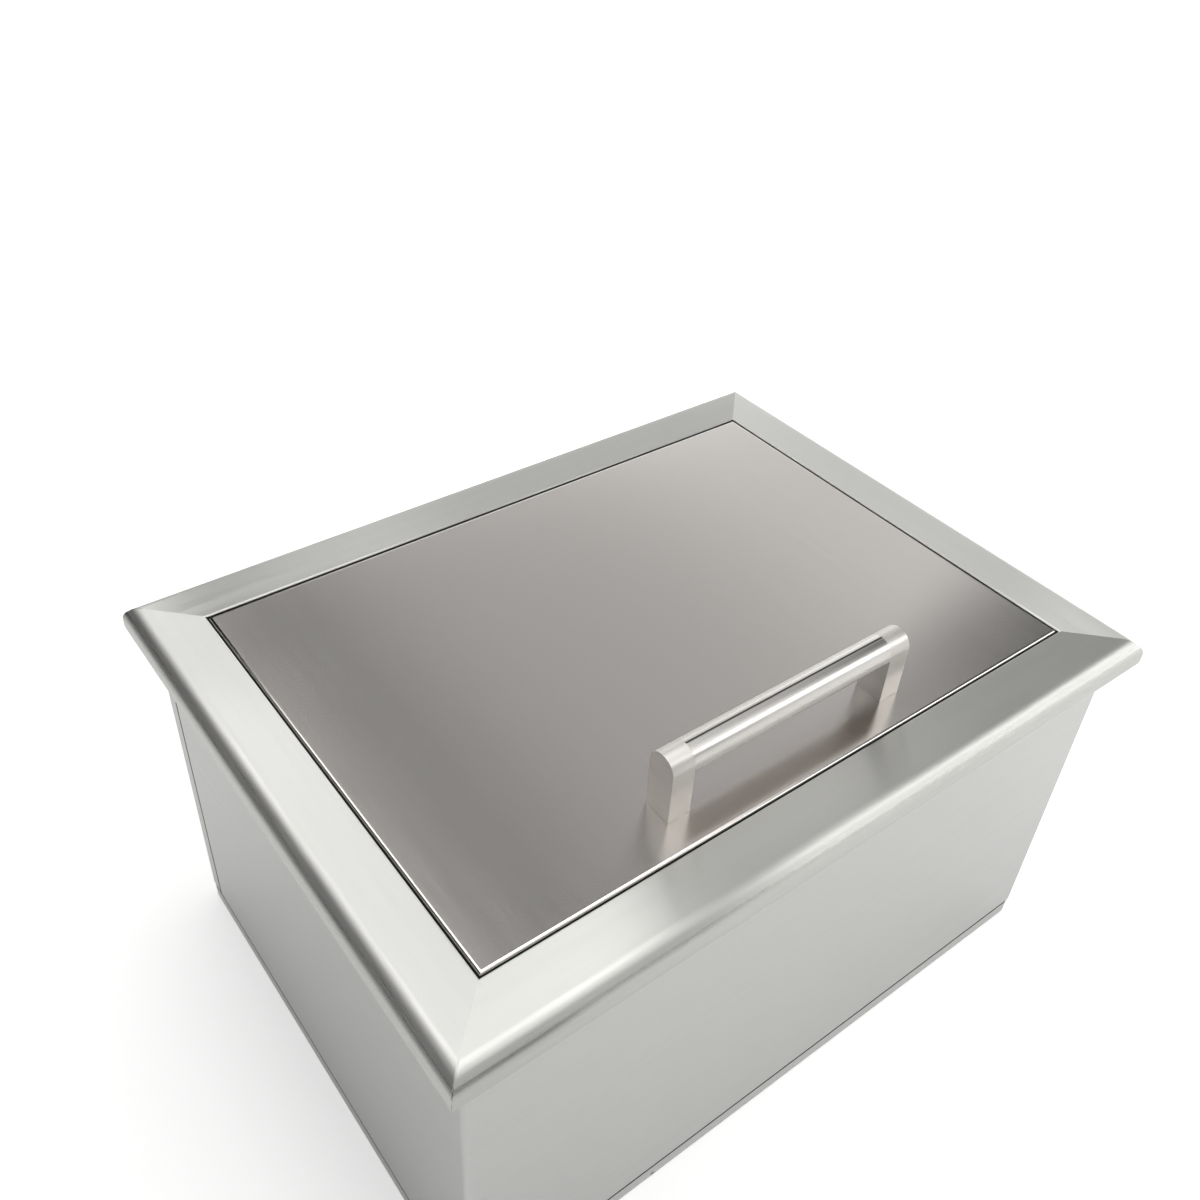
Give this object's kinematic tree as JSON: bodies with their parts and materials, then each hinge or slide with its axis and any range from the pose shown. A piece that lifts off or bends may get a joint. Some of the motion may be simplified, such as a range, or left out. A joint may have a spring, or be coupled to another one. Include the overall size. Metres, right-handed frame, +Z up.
{
  "type": "drop-in ice bin",
  "caption": "Insulated stainless drop-in ice bin with a mitred countertop rim, a rear-hinged flush lid with an arched bar handle, and a drained tub.",
  "frame": {"origin": "centre of the countertop cut-out, on the countertop surface, where the rim's flat return lies", "axes": "+X along the front towards the right, +Y from the front to the back hinge side, +Z up"},
  "size_m": [0.61, 0.46, 0.3816],
  "materials": {
    "rim_steel": "satin stainless, brushed along each strip",
    "lid_steel": "fine satin stainless, nearly polished",
    "handle_steel": "polished stainless",
    "body_steel": "satin stainless sheet",
    "liner_steel": "satin stainless, formed",
    "hinge_steel": "machined stainless",
    "drain_steel": "turned stainless",
    "zinc_steel": "plain stainless fasteners",
    "foam": "rigid polyurethane foam",
    "nylon": "moulded nylon",
    "soft_strip": "soft sponge rubber"
  },
  "bodies": {
    "bin": {"rim_front": "rim_steel", "rim_back": "rim_steel", "rim_left": "rim_steel", "rim_right": "rim_steel", "outer_wrap": "body_steel", "back_panel": "body_steel", "bottom_pan": "body_steel", "inner_tub": "liner_steel", "foam_front": "foam", "foam_back": "foam", "foam_left": "foam", "foam_right": "foam", "foam_bottom": "foam", "lid_rest_front": "liner_steel", "lid_rest_left": "liner_steel", "lid_rest_right": "liner_steel", "lid_rest_strip": "soft_strip", "hinge_boss_left": "hinge_steel", "hinge_boss_right": "hinge_steel", "hinge_pin_left": "hinge_steel", "hinge_pin_right": "hinge_steel", "lid_stop_pin_left": "hinge_steel", "lid_stop_pin_right": "hinge_steel", "drain_body": "drain_steel", "drain_gasket": "soft_strip", "drain_washer": "zinc_steel", "drain_locknut": "zinc_steel"},
    "lid": {"lid_top_skin": "lid_steel", "lid_bottom_tray": "liner_steel", "lid_foam": "foam", "lid_hinge_plate_left": "hinge_steel", "lid_hinge_plate_right": "hinge_steel", "hinge_bush_left": "nylon", "hinge_bush_right": "nylon", "handle_post_left": "handle_steel", "handle_post_right": "handle_steel", "handle_bar": "handle_steel", "handle_screws": "zinc_steel", "handle_washers": "zinc_steel"},
    "strainer": {"drain_strainer": "drain_steel"}
  },
  "joints": [
    {"name": "lid_hinge", "type": "hinge", "parent": "bin", "child": "lid", "pos_m": [0, 0.1567, 0.02], "axis": [-1, 0, 0], "range_deg": [0, 100]},
    {"name": "strainer_lift", "type": "slide", "parent": "bin", "child": "strainer", "axis": [0, 0, 1], "range_m": [0, 0.2]}
  ]
}
